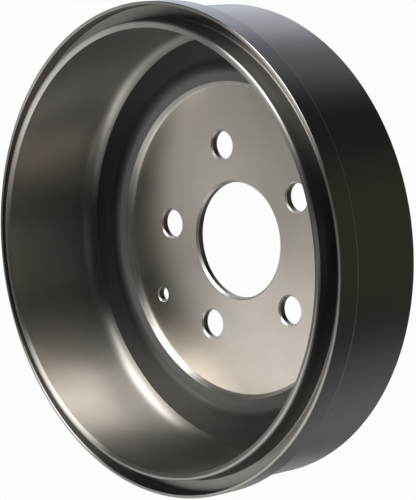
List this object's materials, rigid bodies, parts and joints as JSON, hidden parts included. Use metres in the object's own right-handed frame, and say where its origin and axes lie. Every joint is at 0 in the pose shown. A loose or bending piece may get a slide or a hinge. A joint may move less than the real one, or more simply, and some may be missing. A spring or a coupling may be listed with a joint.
{
  "type": "brake drum",
  "caption": "Shallow round iron brake drum with a grooved lip, a turned shoe surface inside, a hub bore and stud holes.",
  "frame": {"origin": "on the drum's axis, in the plane of the wheel face, which is the face that the drum rests on", "axes": "+Z along the axis, from the wheel face to the open end; +X through the first stud hole; +Y by the right-hand rule"},
  "size_m": [0.288, 0.288, 0.0734],
  "materials": {
    "iron": "turned bright inside and on the rims, satin black coating on the outer wall"
  },
  "bodies": {
    "root": {"brake_drum": "iron"}
  },
  "joints": []
}
